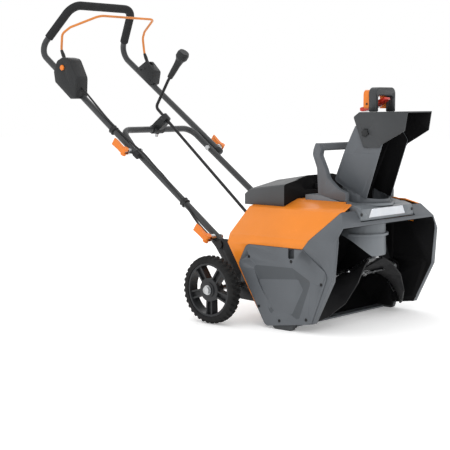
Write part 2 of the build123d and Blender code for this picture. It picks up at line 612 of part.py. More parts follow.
def make_lower_handle():
    half = [(LOW_TUBE_X, *FOLD_LOW), (LOW_TUBE_X, *LOW_LEG_BEND), (163, 933, 550)]
    tube = bent_tube(mirrored(half), [70, 42, 42, 70], TUBE_R, TUBE_R - TUBE_WALL)
    tube -= x_rod(*FOLD_LOW, 5.1, -200, 200)
    tube -= x_rod(*FOLD_MID, 4.2, -200, 200)
    tube -= x_rod(*LOW_CLAMP, 4.2, -200, 200)
    keep("lower_handle", max(tube.solids(), key=lambda s: s.volume))


UPPER_HALF = [(UP_TUBE_X, 824, 470.8), (193, 1307, 817.5), (139, 1193, 968.5)]
UPPER_RADII = [45, 50, 50, 45]


def make_upper_handle():
    tube = bent_tube(mirrored(UPPER_HALF), UPPER_RADII, TUBE_R, TUBE_R - TUBE_WALL)
    tube -= x_rod(*FOLD_MID, 4.2, -250, 250)
    keep("upper_handle", max(tube.solids(), key=lambda s: s.volume))
    kink, top = Vector(*UPPER_HALF[1]), Vector(*UPPER_HALF[2])
    start = kink + (top - kink).normalized() * 55
    foam = bent_tube(mirrored([(start.X, start.Y, start.Z), UPPER_HALF[2]]), [50, 50], FOAM_R, TUBE_R)
    keep("foam_grip", foam)


def lever_shape(pivot, x_face, side):
    """A short thick cam lever. Its cross pin lies outside the washer face, so it swings straight out."""
    turn = math.radians(LEVER_ANGLE)
    frame = Plane(origin=(x_face + 9.5, *pivot), x_dir=(1, 0, 0), z_dir=(0, -math.sin(turn), math.cos(turn)))
    cam = Cylinder(9, 26)
    flat = outline([(-4, 0), (-3, 40), (2, 56), (9, 56), (9, 0)], [0.5, 14, 3, 4, 0.5])
    arm = Pos(0, 0, -12) * extrude(flat, amount=24)
    taper = Plane.YZ.offset(-20) * outline([(-9, -9), (26, -9), (60, -12), (60, 12), (26, 9), (-9, 9)])
    arm &= extrude(taper, amount=60)
    lever = cam + arm
    lever -= Pos(-7.5, -7.5, 0) * Box(25, 25, 9.2)
    placed = frame * lever
    return placed if side > 0 else mirror(placed, about=Plane.YZ)


def make_levers():
    for side, name in ((-1, "right"), (1, "left")):
        keep(f"lower_lever_{name}", lever_shape(LOW_CLAMP, 212, side))
        keep(f"mid_lever_{name}", lever_shape(FOLD_MID, 222, side))
    pivot = x_rod(*FOLD_LOW, 5, 160, 198) + x_rod(*FOLD_LOW, 12, 192.4, 199) + x_rod(*FOLD_LOW, 9, 159, 163.5)
    bolts = both_sides(pivot)
    for clamp, x_face, x_tube in ((LOW_CLAMP, 212, 192.8), (FOLD_MID, 222, 208.5)):
        shank = x_rod(*clamp, 4, 158, x_face + 11.5) + x_rod(*clamp, 8, 157, 163.4)
        washer = x_rod(*clamp, 11, x_tube, x_face) - x_rod(*clamp, 4, 150, 250)
        bolts += both_sides(shank) + both_sides(washer)
    keep("handle_bolts", *bolts)


def upper_tube_solid(extra):
    return bent_tube(mirrored(UPPER_HALF), UPPER_RADII, TUBE_R + extra)


def make_switch_boxes():
    near = [(1188, 742), (1172, 778), (1143, 790), (1108, 784), (1074, 722), (1078, 652), (1106, 652), (1182, 708)]
    far = [(1222, 757), (1165, 789), (1124, 750), (1133, 706), (1150, 700)]
    fan = [(1140, 722), (1160, 716), (1240, 768), (1235, 820), (1158, 820)]
    core = upper_tube_solid(0.05)
    box = side_prism(near, -234, -183, [5, 16, 20, 22, 26, 8, 8, 8])
    box = chamfer(box.faces().sort_by(Axis.X)[0].edges(), 3) - core - side_prism(fan, -202.5, -187.5)
    box -= x_rod(1142, 755, 9.4, -240, -224)
    box += x_rod(*BAIL_PIVOT, 3, -210, -184)
    keep("switch_box", max(box.solids(), key=lambda s: s.volume))
    hub = side_prism(far, 182, 214, [5, 12, 12, 6, 4]) - core - side_prism(fan, 187.5, 202.5)
    hub += x_rod(*BAIL_PIVOT, 3, 184, 212)
    keep("bail_pivot_box", max(hub.solids(), key=lambda s: s.volume))
    button = x_rod(1142, 755, 9, -238, -227)
    keep("start_button", chamfer(button.edges().sort_by(Axis.X)[0], 1.2))


def make_bail():
    half = [(195, *BAIL_PIVOT), (196, 1189, 816), (190, 1191, 870), (175.5, 1167, 891), (126, 1072, 928)]
    wire = bent_tube(mirrored(half), [40, 22, 30, 30, 30, 30, 22, 40], BAIL_R)
    for side in (-1, 1):
        wire += x_rod(*BAIL_PIVOT, 7, side * 195 - 6.5, side * 195 + 6.5)
    wire -= x_rod(*BAIL_PIVOT, 3.06, -250, 250)
    keep("bail", max(wire.solids(), key=lambda s: s.volume))


# ---------------------------------------------------------------- crank
def rod_point(y):
    return (0, y, ROD_POINT[1] + (y - ROD_POINT[0]) * math.tan(math.radians(ROD_SLOPE)))


ROD_LOW_Y = 498
ELBOW_Y = 937.5


def make_crank():
    base, top = Vector(0, 880, 713), Vector(0, 806, 803)
    grip_axis = (top - base).normalized()
    path = [rod_point(ROD_LOW_Y), rod_point(ELBOW_Y), tuple(base), tuple(top)]
    rod = bent_tube(path, [14, 120], ROD_R)
    keep("crank_rod", rod)
    profile = Polyline((0, 12), (9, 12), (10.5, 34), (11.5, 66), (14, 84), (20.5, 96), (20.5, 110), (17, 118),
                       (0, 118), close=True)
    grip = Plane(origin=base, z_dir=grip_axis) * revolve(Plane.XZ * make_face(profile), Axis.Z)
    keep("crank_grip", grip - rod)

    slope = Vector(0, math.cos(math.radians(ROD_SLOPE)), math.sin(math.radians(ROD_SLOPE)))
    eye_centre = Vector(*rod_point(893))
    eye = extrude(Plane(origin=eye_centre - slope * 11, z_dir=slope) * Circle(13), amount=22)
    arm = side_prism([(880, 574), (906, 596), (952, 562), (940, 538), (916, 548)], -9, 9, [2, 2, 8, 2, 2])
    guide = eye + arm + bar((-24, 933, 550), (24, 933, 550), TUBE_R + 4)
    guide -= bar((-80, 933, 550), (80, 933, 550), TUBE_R + 0.05)
    guide -= extrude(Plane(origin=eye_centre - slope * 60, z_dir=slope) * Circle(ROD_R + 0.3), amount=110)
    keep("rod_guide", max(guide.solids(), key=lambda s: s.volume))

    coupling = extrude(Plane(origin=Vector(*rod_point(408)), z_dir=slope) * Circle(9), amount=96)
    bottom = Vector(*rod_point(ROD_LOW_Y))
    coupling -= extrude(Plane(origin=bottom - slope * 1, z_dir=slope) * Circle(ROD_R + 0.3), amount=60)
    coupling -= extrude(Plane(origin=Vector(*rod_point(392)), z_dir=slope) * Circle(7), amount=19)
    keep("rod_flex_coupling", max(coupling.solids(), key=lambda s: s.volume))


# ---------------------------------------------------------------- switch cable
CABLE_UPPER = [(-205, 1072, 684), (-203, 1010, 630), (-200, 960, 586), (-198, 905, 546), (-197, 872, 523),
               (-196, 840, 503), (-192, 800, 476), (-187, 760, 440), (-186, 728, 416)]
CABLE_LOWER = [(-186, 727, 415.2), (-186, 690, 384), (-189, 650, 350), (-191, 612, 315), (-188.5, 575, 274),
               (-180, 540, 240), (-174, 505, 209), (-171, 470, 187), (-169, 430, 178), (-168, 392, 178),
               (-167, 353, 182)]


def tangent_radius(route, i):
    """The largest easy arc at a point of the route."""
    a, b, c = (Vector(*route[k]) for k in (i - 1, i, i + 1))
    turn = (b - a).get_angle(c - b)
    short = min((b - a).length, (c - b).length)
    return 0.45 * short / math.tan(math.radians(max(turn, 2)) / 2)


def make_cable():
    for name, route in (("cable_upper", CABLE_UPPER), ("cable_lower", CABLE_LOWER)):
        radii = [tangent_radius(route, i) for i in range(1, len(route) - 1)]
        keep(name, bent_tube(route, radii, CABLE_R))


# ---------------------------------------------------------------- fasteners
def make_fasteners():
    heads = []
    for y, z in COVER_SCREWS:
        head = x_rod(y, z, 4, 265.3, 267.6) - x_rod(y, z, 1.6, 266.6, 270)
        heads += both_sides(head)
    for x in (-129, 129):
        heads.append(Pos(x, 5.2, 329) * Rot(90, 0, 0) * Cylinder(4.2, 2.4))
    keep("body_screws", *heads)


# ---------------------------------------------------------------- build and write
make_auger_housing()
make_duct()
make_side_cover("side_cover_left", 1)
make_side_cover("side_cover_right", -1)
make_skids()
make_scraper()
make_rear_shroud()
make_top_deck()
make_carry_handle()
make_headlight()
make_battery_bay()
make_motor()
make_belt()
make_auger()
make_controller()
make_chute()
make_chute_drive()
make_wheel(1, "left")
make_wheel(-1, "right")
make_axle()
make_brackets()
make_lower_handle()
make_upper_handle()
make_levers()
make_switch_boxes()
make_bail()
make_crank()
make_cable()
make_fasteners()

os.makedirs("parts", exist_ok=True)
for name, shape in parts.items():
    export_step(Pos(0, -ORIGIN_Y, 0) * shape, f"parts/{name}.step")
print(len(parts), "nodes")
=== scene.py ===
"""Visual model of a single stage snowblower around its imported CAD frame."""
import json
import math

import bmesh
import bpy
from mathutils import Matrix, Vector

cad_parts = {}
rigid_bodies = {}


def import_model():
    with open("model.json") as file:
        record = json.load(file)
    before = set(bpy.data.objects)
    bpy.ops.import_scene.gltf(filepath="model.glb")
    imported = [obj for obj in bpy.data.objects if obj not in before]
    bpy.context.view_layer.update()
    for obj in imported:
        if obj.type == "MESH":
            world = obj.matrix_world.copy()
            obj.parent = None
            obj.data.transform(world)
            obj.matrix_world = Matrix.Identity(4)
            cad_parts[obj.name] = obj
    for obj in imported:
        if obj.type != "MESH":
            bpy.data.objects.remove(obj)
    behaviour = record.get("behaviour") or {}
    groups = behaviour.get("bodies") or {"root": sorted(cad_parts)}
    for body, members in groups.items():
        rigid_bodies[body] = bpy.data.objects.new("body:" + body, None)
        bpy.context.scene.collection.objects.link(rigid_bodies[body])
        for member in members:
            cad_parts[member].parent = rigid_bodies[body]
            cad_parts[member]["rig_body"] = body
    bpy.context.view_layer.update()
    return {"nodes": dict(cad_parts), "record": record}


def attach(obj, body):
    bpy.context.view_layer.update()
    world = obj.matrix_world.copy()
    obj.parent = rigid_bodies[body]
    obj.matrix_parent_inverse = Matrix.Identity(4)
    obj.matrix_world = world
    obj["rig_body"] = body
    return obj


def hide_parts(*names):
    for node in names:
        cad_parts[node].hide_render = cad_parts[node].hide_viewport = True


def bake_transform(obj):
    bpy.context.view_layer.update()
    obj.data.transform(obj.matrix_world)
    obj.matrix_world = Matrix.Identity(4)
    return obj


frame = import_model()
NODES = frame["nodes"]
SLOTS = {sub["node"]: sub["material_slot"] for sub in frame["record"]["subparts"]}
MM = 0.001
ORIGIN_Y = 0.607  # the front plane of the auger housing lies this far in front of the origin


def at(x, y, z):
    """A point given in millimetres from the housing's front plane, in the frame's metres."""
    return Vector((x * MM, y * MM - ORIGIN_Y, z * MM))


def local(point):
    """The same millimetres for a point in the frame's metres."""
    return point.x / MM, (point.y + ORIGIN_Y) / MM, point.z / MM


def linked(name, data):
    """A new object in the scene."""
    made = bpy.data.objects.new(name, data)
    bpy.context.scene.collection.objects.link(made)
    return made


def smooth_shading(mesh, sharp_angle):
    """Smooth faces, with the edges that turn more than the angle kept sharp."""
    for polygon in mesh.polygons:
        polygon.use_smooth = True
    mesh.set_sharp_from_angle(angle=math.radians(sharp_angle))


# ---------------------------------------------------------------- camera, light, floor
CAMERA_PLACE = Vector((-2.8314, -1.8680 - ORIGIN_Y, 0.6468))
CAMERA_YAW = 41.395
CAMERA_PITCH = 6.048
CAMERA_LENS = 94.05
FLOOR_HALF = 14


def make_camera():
    """The camera, placed and turned like the one that looks at the machine from its near side."""
    yaw, pitch = math.radians(CAMERA_YAW), math.radians(CAMERA_PITCH)
    view = Vector((math.cos(yaw) * math.cos(pitch), math.sin(yaw) * math.cos(pitch), -math.sin(pitch)))
    data = bpy.data.cameras.new("camera")
    data.lens = CAMERA_LENS
    data.sensor_width = 36
    camera = linked("camera", data)
    camera.location = CAMERA_PLACE
    camera.rotation_euler = view.to_track_quat("-Z", "Y").to_euler()
    bpy.context.scene.camera = camera


def area_light(name, place, target, size, power):
    """A square soft light at a place, turned to its target."""
    data = bpy.data.lights.new(name, "AREA")
    data.shape = "RECTANGLE"
    data.size = data.size_y = size
    data.energy = power
    light = linked(name, data)
    light.location = place
    light.rotation_euler = (Vector(target) - Vector(place)).to_track_quat("-Z", "Y").to_euler()


def make_studio():
    area_light("key", (-2.2, -2.6, 2.6), (0, -0.1, 0.3), 2.2, 20)
    area_light("fill", (-3.2, 1.6, 1.6), (0, 0, 0.4), 2.0, 10)
    area_light("rim", (2.4, 1.8, 2.4), (0, 0, 0.4), 1.8, 8)
    area_light("top", (0, -0.1, 3.2), (0, 0, 0), 2.6, 8)
    world = bpy.data.worlds.new("studio")
    world.use_nodes = True
    background = world.node_tree.nodes["Background"]
    background.inputs["Color"].default_value = (1, 1, 1, 1)
    background.inputs["Strength"].default_value = 1.0
    bpy.context.scene.world = world
    bpy.context.scene.view_settings.view_transform = "Standard"
    bpy.context.scene.view_settings.look = "None"


def make_floor():
    mesh = bpy.data.meshes.new("floor")
    corners = [(x * FLOOR_HALF, y * FLOOR_HALF, 0) for x, y in ((-1, -1), (1, -1), (1, 1), (-1, 1))]
    mesh.from_pydata(corners, [], [(0, 1, 2, 3)])
    floor = linked("floor", mesh)
    material = bpy.data.materials.new("floor_white")
    material.use_nodes = True
    shader = material.node_tree.nodes["Principled BSDF"]
    shader.inputs["Base Color"].default_value = (0.96, 0.96, 0.96, 1)
    shader.inputs["Roughness"].default_value = 0.85
    shader.inputs["Specular IOR Level"].default_value = 0.0
    shader.inputs["Emission Color"].default_value = (1, 1, 1, 1)
    shader.inputs["Emission Strength"].default_value = 0.22
    mesh.materials.append(material)


# ---------------------------------------------------------------- materials
class Recipe:
    """A small helper for building a node material."""

    def __init__(self, name):
        self.material = bpy.data.materials.new(name)
        self.material.use_nodes = True
        self.tree = self.material.node_tree
        self.shader = self.tree.nodes["Principled BSDF"]
        self.coords = self.tree.nodes.new("ShaderNodeTexCoord").outputs["Object"]

    def node(self, kind, **inputs):
        made = self.tree.nodes.new(kind)
        for key, value in inputs.items():
            made.inputs[key.replace("_", " ")].default_value = value
        return made

    def link(self, source, target):
        self.tree.links.new(source, target)

    def scaled(self, x, y, z):
        mapping = self.node("ShaderNodeMapping")
        mapping.inputs["Scale"].default_value = (x, y, z)
        self.link(self.coords, mapping.inputs["Vector"])
        return mapping.outputs["Vector"]

    def noise(self, scale, detail=3, rough=0.55, vector=None):
        made = self.node("ShaderNodeTexNoise", Scale=scale, Detail=detail, Roughness=rough)
        self.link(vector or self.coords, made.inputs["Vector"])
        return made.outputs["Fac"]

    def ramp(self, source, stops):
        made = self.node("ShaderNodeValToRGB")
        elements = made.color_ramp.elements
        while len(elements) > len(stops):
            elements.remove(elements[-1])
        while len(elements) < len(stops):
            elements.new(0.5)
        for element, (position, colour) in zip(elements, stops):
            element.position = position
            element.color = (*colour, 1)
        self.link(source, made.inputs["Fac"])
        return made.outputs["Color"]

    def spread(self, source, low, high):
        """Maps a noise that mostly lies between 0.3 and 0.7 to a range of values."""
        made = self.node("ShaderNodeMapRange")
        for key, value in (("From Min", 0.3), ("From Max", 0.7), ("To Min", low), ("To Max", high)):
            made.inputs[key].default_value = value
        self.link(source, made.inputs["Value"])
        return made.outputs["Result"]

    def mix(self, factor, a, b, blend="MIX"):
        made = self.tree.nodes.new("ShaderNodeMix")
        made.data_type = "RGBA"
        made.blend_type = blend
        for value, socket in ((factor, 0), (a, 6), (b, 7)):
            if hasattr(value, "is_linked"):
                self.link(value, made.inputs[socket])
            else:
                made.inputs[socket].default_value = value
        return made.outputs[2]

    def bump(self, source, strength, distance, under=None):
        made = self.node("ShaderNodeBump", Strength=strength, Distance=distance)
        self.link(source, made.inputs["Height"])
        if under is not None:
            self.link(under, made.inputs["Normal"])
        return made.outputs["Normal"]

    def set(self, **values):
        for key, value in values.items():
            self.shader.inputs[key.replace("_", " ")].default_value = value

    def to(self, key, source):
        self.link(source, self.shader.inputs[key])


def shade(colour, factor):
    return tuple(min(1, c * factor) for c in colour)


def plastic(name, colour, rough=0.5, grain=0.00010, grain_scale=900, wear=0.10, coat=0.0, specular=0.28):
    """Moulded plastic: fine spark texture, faint flow marks and scuffs."""
    r = Recipe(name)
    broad = r.noise(7, 3)
    flow = r.noise(2.2, 2, vector=r.scaled(1, 4, 1))
    tone = r.ramp(broad, [(0.32, shade(colour, 1 - wear)), (0.68, shade(colour, 1 + wear * 0.6))])
    scuff = r.ramp(r.noise(38, 6, 0.75), [(0.60, (0, 0, 0)), (0.78, (1, 1, 1))])
    worn = tuple(min(1, c * 1.18 + 0.02) for c in colour)
    lifted = r.mix(scuff, tone, (*worn, 1))
    dull = r.mix(0.35, tone, lifted)
    r.to("Base Color", dull)
    r.to("Roughness", r.spread(flow, rough - 0.05, rough + 0.08))
    fine = r.noise(grain_scale, 2, 0.6)
    wave = r.noise(16, 2)
    r.to("Normal", r.bump(fine, 0.55, grain, r.bump(wave, 0.12, 0.0006)))
    r.set(Specular_IOR_Level=specular, Coat_Weight=coat, Coat_Roughness=0.15)
    return r.material


def paint(name, colour, rough, peel, coat):
    """Powder coat or enamel on steel: orange peel and slight tone changes."""
    r = Recipe(name)
    tone = r.ramp(r.noise(12, 3), [(0.3, shade(colour, 0.9)), (0.7, shade(colour, 1.1))])
    chips = r.ramp(r.noise(120, 5, 0.7), [(0.70, (0, 0, 0)), (0.76, (1, 1, 1))])
    r.to("Base Color", r.mix(chips, tone, (*shade(colour, 1.5), 1)))
    r.to("Roughness", r.spread(r.noise(30, 3), rough - 0.06, rough + 0.08))
    r.to("Normal", r.bump(r.noise(420, 2), peel, 0.00012))
    r.set(Coat_Weight=coat, Coat_Roughness=0.2, Specular_IOR_Level=0.3)
    return r.material


def steel(name, colour, rough=0.28):
    """Zinc plated steel with a fine grain."""
    r = Recipe(name)
    lines = r.noise(260, 4, 0.7)
    tone = r.ramp(lines, [(0.3, shade(colour, 0.82)), (0.7, shade(colour, 1.12))])
    stain = r.ramp(r.noise(26, 4), [(0.45, (1, 1, 1)), (0.75, (0.72, 0.70, 0.66))])
    r.to("Base Color", r.mix(1.0, tone, stain, "MULTIPLY"))
    r.to("Roughness", r.spread(r.noise(60, 4), rough - 0.08, rough + 0.12))
    r.to("Normal", r.bump(lines, 0.35, 0.00008))
    r.set(Metallic=1.0)
    return r.material


def rubber(name, colour, rough, dust, amount, relief=0.0003):
    """Black rubber with a light bloom and a pebbled skin."""
    r = Recipe(name)
    bloom = r.ramp(r.noise(9, 5, 0.7), [(0.42, (0, 0, 0)), (0.82, (amount, amount, amount))])
    r.to("Base Color", r.mix(bloom, (*colour, 1), (*dust, 1)))
    r.to("Roughness", r.spread(r.noise(24, 4), rough - 0.1, rough + 0.1))
    r.to("Normal", r.bump(r.noise(700, 3), 0.6, relief))
    r.set(Specular_IOR_Level=0.2)
    return r.material


def foam(name):
    """Closed cell foam tube: matt black with fine pores."""
    r = Recipe(name)
    pores = r.node("ShaderNodeTexVoronoi", Scale=620.0)
    r.link(r.coords, pores.inputs["Vector"])
    stops = [(0.05, (0.010, 0.010, 0.011)), (0.55, (0.026, 0.027, 0.028))]
    r.to("Base Color", r.ramp(pores.outputs["Distance"], stops))
    r.to("Roughness", r.spread(r.noise(40, 3), 0.75, 0.92))
    wave = r.bump(r.noise(60, 3), 0.3, 0.0012)
    r.to("Normal", r.bump(pores.outputs["Distance"], 0.7, 0.0005, wave))
    r.set(Specular_IOR_Level=0.15)
    return r.material


def lens(name):
    """Clear ribbed light cover."""
    r = Recipe(name)
    tone = r.ramp(r.noise(20, 3), [(0.3, (0.80, 0.84, 0.90)), (0.7, (0.94, 0.96, 0.99))])
    r.to("Base Color", tone)
    r.to("Roughness", r.spread(r.noise(50, 2), 0.08, 0.2))
    r.to("Normal", r.bump(r.noise(90, 2), 0.2, 0.0003))
    r.set(Transmission_Weight=0.35, IOR=1.49, Coat_Weight=0.6)
    return r.material


def board(name):
    """White solder-masked lamp board."""
    r = Recipe(name)
    cells = r.node("ShaderNodeTexVoronoi", Scale=160.0)
    r.link(r.coords, cells.inputs["Vector"])
    stops = [(0.02, (0.45, 0.46, 0.42)), (0.10, (0.9, 0.92, 0.93))]
    r.to("Base Color", r.ramp(cells.outputs["Distance"], stops))
    r.to("Roughness", r.spread(r.noise(30, 2), 0.3, 0.5))
    r.to("Normal", r.bump(r.noise(200, 2), 0.2, 0.0001))
    return r.material


# Each name's recipe and the values it is called with.
MATERIALS = {
    "grey_shell": (plastic, (0.104, 0.113, 0.124), 0.44),
    "pale_grey_shell": (plastic, (0.165, 0.180, 0.195), 0.34),
    "orange_shell": (plastic, (0.76, 0.225, 0.022), 0.36, 0.00007, 700, 0.06, 0.0, 0.3),
    "orange_trim": (plastic, (0.76, 0.20, 0.022), 0.36, 0.00006, 700, 0.07, 0.0, 0.3),
    "dark_plastic": (plastic, (0.016, 0.017, 0.018), 0.46, 0.00012, 800, 0.2),
    "hood_grey": (plastic, (0.044, 0.047, 0.050), 0.46, 0.00012, 850, 0.12),
    "red_plastic": (plastic, (0.58, 0.035, 0.018), 0.32, 0.00005, 700, 0.08, 0.2),
    "dark_tube": (paint, (0.034, 0.036, 0.038), 0.36, 0.4, 0.1),
    "black_steel": (paint, (0.009, 0.009, 0.010), 0.4, 0.5, 0.0),
    "orange_wire": (paint, (0.60, 0.20, 0.035), 0.34, 0.4, 0.1),
    "bright_steel": (steel, (0.50, 0.51, 0.52)),
    "rubber_blade": (rubber, (0.009, 0.009, 0.010), 0.5, (0.04, 0.04, 0.042), 0.3),
    "tyre_rubber": (rubber, (0.009, 0.009, 0.009), 0.7, (0.03, 0.03, 0.03), 0.3, 0.0004),
    "foam": (foam,),
    "led_lens": (lens,),
    "circuit": (board,),
    "rim_plastic": (plastic, (0.022, 0.023, 0.025), 0.42, 0.00012, 800, 0.15),
    # A darker grey standing in for shade: painted shade on the slanted bands around the side covers' sunk
    # panels.
    "painted_shade_grey": (plastic, (0.070, 0.077, 0.085), 0.48),
    # Near black standing in for shade: painted shade inside the auger chamber, the chute, the hood and
    # the battery lid's recess.
    "painted_shade_interior": (plastic, (0.006, 0.006, 0.0065), 0.7, 0.00012, 800, 0.2, 0.0, 0.1),
    "lid_shell": (plastic, (0.064, 0.066, 0.069), 0.5, 0.00012, 850, 0.12),
}
# Pieces whose look differs a little from the slot that the record gives their node.
LOOKS = {"battery_lid": "lid_shell", "hood_pins": "black_steel"}
MADE = {}


def material(slot):
    """The material of this name, made the first time it is asked for."""
    if slot not in MADE:
        recipe, *values = MATERIALS[slot]
        MADE[slot] = recipe(slot, *values)
    return MADE[slot]


def paint_nodes():
    """Gives each CAD node the material of its record slot."""
    for name, slot in SLOTS.items():
        mesh = NODES[name].data
        mesh.materials.clear()
        mesh.materials.append(material(LOOKS.get(name, slot)))


# ---------------------------------------------------------------- piece helpers
WELD_DISTANCE = 0.00002
FLAT_ANGLE = 1.0
BEVEL_SEGMENTS = 2
CAD_SHARP = 35
SOFTENED_SHARP = 40
PIECE_SHARP = 38


def finish_piece(name, mesh, slot, body, *replaced, look=None):
    """A piece that rides on a body and may stand for CAD nodes."""
    piece = linked(name, mesh)
    mesh.materials.clear()
    mesh.materials.append(material(look or slot))
    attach(piece, body)
    if replaced:
        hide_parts(*replaced)


def softened(node, width, angle, dark):
    """A copy of a CAD node with its sharp edges rounded, shown in the node's place."""
    bm = bmesh.new()
    bm.from_mesh(NODES[node].data)
    bmesh.ops.remove_doubles(bm, verts=bm.verts, dist=WELD_DISTANCE)
    bmesh.ops.dissolve_limit(bm, angle_limit=math.radians(FLAT_ANGLE), verts=bm.verts, edges=bm.edges)
    mesh = bpy.data.meshes.new("unbevelled")
    bm.to_mesh(mesh)
    bm.free()
    piece = linked("unbevelled", mesh)
    bevel = piece.modifiers.new("bevel", "BEVEL")
    bevel.width = width
    bevel.segments = BEVEL_SEGMENTS
    bevel.limit_method = "ANGLE"
    bevel.angle_limit = math.radians(angle)
    bevel.harden_normals = True
    bpy.context.view_layer.update()
    evaluated = piece.evaluated_get(bpy.context.evaluated_depsgraph_get())
    final = bpy.data.meshes.new_from_object(evaluated)
    bpy.data.objects.remove(piece)
    bpy.data.meshes.remove(mesh)
    final.name = f"{node}_shape"
    smooth_shading(final, SOFTENED_SHARP)
    finish_piece(final.name, final, SLOTS[node], NODES[node]["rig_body"], node, look=LOOKS.get(node))
    # Faces picked by dark get a second material, which is painted shade.
    if dark is not None:
        final.materials.append(material(PAINTED_SHADE_LOOKS.get(node, "painted_shade_interior")))
        for polygon in final.polygons:
            if dark(polygon.center, polygon.normal):
                polygon.material_index = 1


def ring_mesh(name, rings, caps=True):
    """A mesh through rings of points; each ring is joined to the next one."""
    count = len(rings[0])
    points = [point for ring in rings for point in ring]
    faces = []
    for i in range(len(rings) - 1):
        for k in range(count):
            after = (k + 1) % count
            here, above = i * count, (i + 1) * count
            faces.append((here + k, here + after, above + after, above + k))
    if caps:
        faces.append(tuple(reversed(range(count))))
        faces.append(tuple((len(rings) - 1) * count + k for k in range(count)))
    mesh = bpy.data.meshes.new(name)
    mesh.from_pydata(points, [], faces)
    bm = bmesh.new()
    bm.from_mesh(mesh)
    bmesh.ops.recalc_face_normals(bm, faces=bm.faces)
    bm.to_mesh(mesh)
    bm.free()
    smooth_shading(mesh, PIECE_SHARP)
    return mesh


def lathe(name, centre, axis, profile, segments=36, lobes=0, lobe_depth=0.0):
    """A turned shape: profile gives (distance along the axis, radius) in millimetres."""
    axis = Vector(axis).normalized()
    across = axis.orthogonal().normalized()
    other = axis.cross(across)
    rings = []
    for distance, radius in profile:
        ring = []
        for k in range(segments):
            angle = 2 * math.pi * k / segments
            reach = radius * (1 - lobe_depth * (0.5 + 0.5 * math.cos(lobes * angle))) * MM
            outward = across * math.cos(angle) + other * math.sin(angle)
            ring.append(centre + axis * distance * MM + outward * reach)
        rings.append(ring)
    return ring_mesh(name, rings)


def smooth_route(corners, steps=10):
    """Points along a smooth curve through the corners."""
    padded = [corners[0] * 2 - corners[1], *corners, corners[-1] * 2 - corners[-2]]
    route = []
    for i in range(1, len(padded) - 2):
        a, b, c, d = padded[i - 1:i + 3]
        for k in range(steps):
            t = k / steps
            route.append(0.5 * (2 * b + (c - a) * t + (2 * a - 5 * b + 4 * c - d) * t ** 2
                                + (3 * b - a - 3 * c + d) * t ** 3))
    return route + [corners[-1]]


def hose(name, route, radii, segments=16):
    """A round hose along a route; radii has one value in millimetres for each point."""
    rings = []
    side = None
    for i, point in enumerate(route):
        ahead = (route[min(i + 1, len(route) - 1)] - route[max(i - 1, 0)]).normalized()
        side = ahead.orthogonal() if side is None else side - ahead * side.dot(ahead)
        side.normalize()
        other = ahead.cross(side)
        turn = [2 * math.pi * k / segments for k in range(segments)]
        rings.append([point + (side * math.cos(t) + other * math.sin(t)) * radii[i] * MM for t in turn])
    return ring_mesh(name, rings)


def bent_piece(name, mesh, slot, node):
    """A piece that stands for a CAD node and spans two bodies; it is fixed in the scene and rides on
    neither.
    """
    piece = linked(name, mesh)
    mesh.materials.append(material(slot))
    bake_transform(piece)
    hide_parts(node)


# ---------------------------------------------------------------- wheels
WHEEL_X, AXLE_Y, AXLE_Z = 319, 398, 100
TREAD_STEPS = 288
LUG_STEPS = 8
# The tyre's section from the inner bead over the tread to the outer one: (x, radius).
TYRE_SECTION = (
    (301, 79), (300.4, 86), (301, 92), (303.5, 96.5), (308, 98.2), (314, 99), (WHEEL_X, 99.2),
    (324, 99), (330, 98.2), (334.5, 96.5), (337, 92), (337.6, 86), (337, 79),
)


def make_tyre(side, name):
    """A tyre with blocks across the tread and a row of lugs on each shoulder."""
    rings = []
    for i in range(TREAD_STEPS):
        angle = 2 * math.pi * i / TREAD_STEPS
        ring = []
        for x, radius in TYRE_SECTION:
            outward = abs(x - WHEEL_X)
            shift = LUG_STEPS // 2 if x > WHEEL_X else 0
            block = (i + shift + int(outward / 5)) % LUG_STEPS < LUG_STEPS // 2
            groove = 0 if radius < 90 else (0.6 if block else -3.4)
            if outward < 2:
                groove = -2.6
            reach = radius + groove
            ring.append(at(side * x, AXLE_Y + reach * math.cos(angle), AXLE_Z + reach * math.sin(angle)))
        rings.append(ring)
    mesh = ring_mesh(f"tread_{name}", rings + rings[:1], caps=False)
    finish_piece(f"tread_{name}", mesh, "tyre_rubber", f"wheel_{name}", f"tyre_{name}")


# ---------------------------------------------------------------- handle
TUBE_WAY = Vector((0, 0.812, 0.583))
# Turned shapes: (distance along the axis, radius).
BOOT = ((0, 4.2), (1, 6.6), (9, 6.8), (10, 6.0), (20, 5.8), (21, 6.4), (27, 6.2), (40, 5.2), (43, 4.2))
TUBE_CAP = ((-4, 9), (-3, 11.4), (14, 12.0), (15, 11.2), (16, 10.4))
CLIP = ((-8, 10.4), (-8, 13.5), (-6, 15.5), (-2, 14), (2, 14), (6, 15.5), (8, 13.5), (8, 10.4))
GUIDE_NUT = ((0, 8), (2, 8), (2.5, 6), (10, 6), (13, 3))
BOX_SCREW = ((0, 4.2), (1.6, 4.0), (2.2, 3.2))
CLIPS = (("upper", "upper_handle", (-197, 935, 550.5)), ("lower", "lower_handle", (-175, 640, 330.5)))
BOX_SCREW_PLACES = ((1176, 762), (1196, 756), (1148, 718))


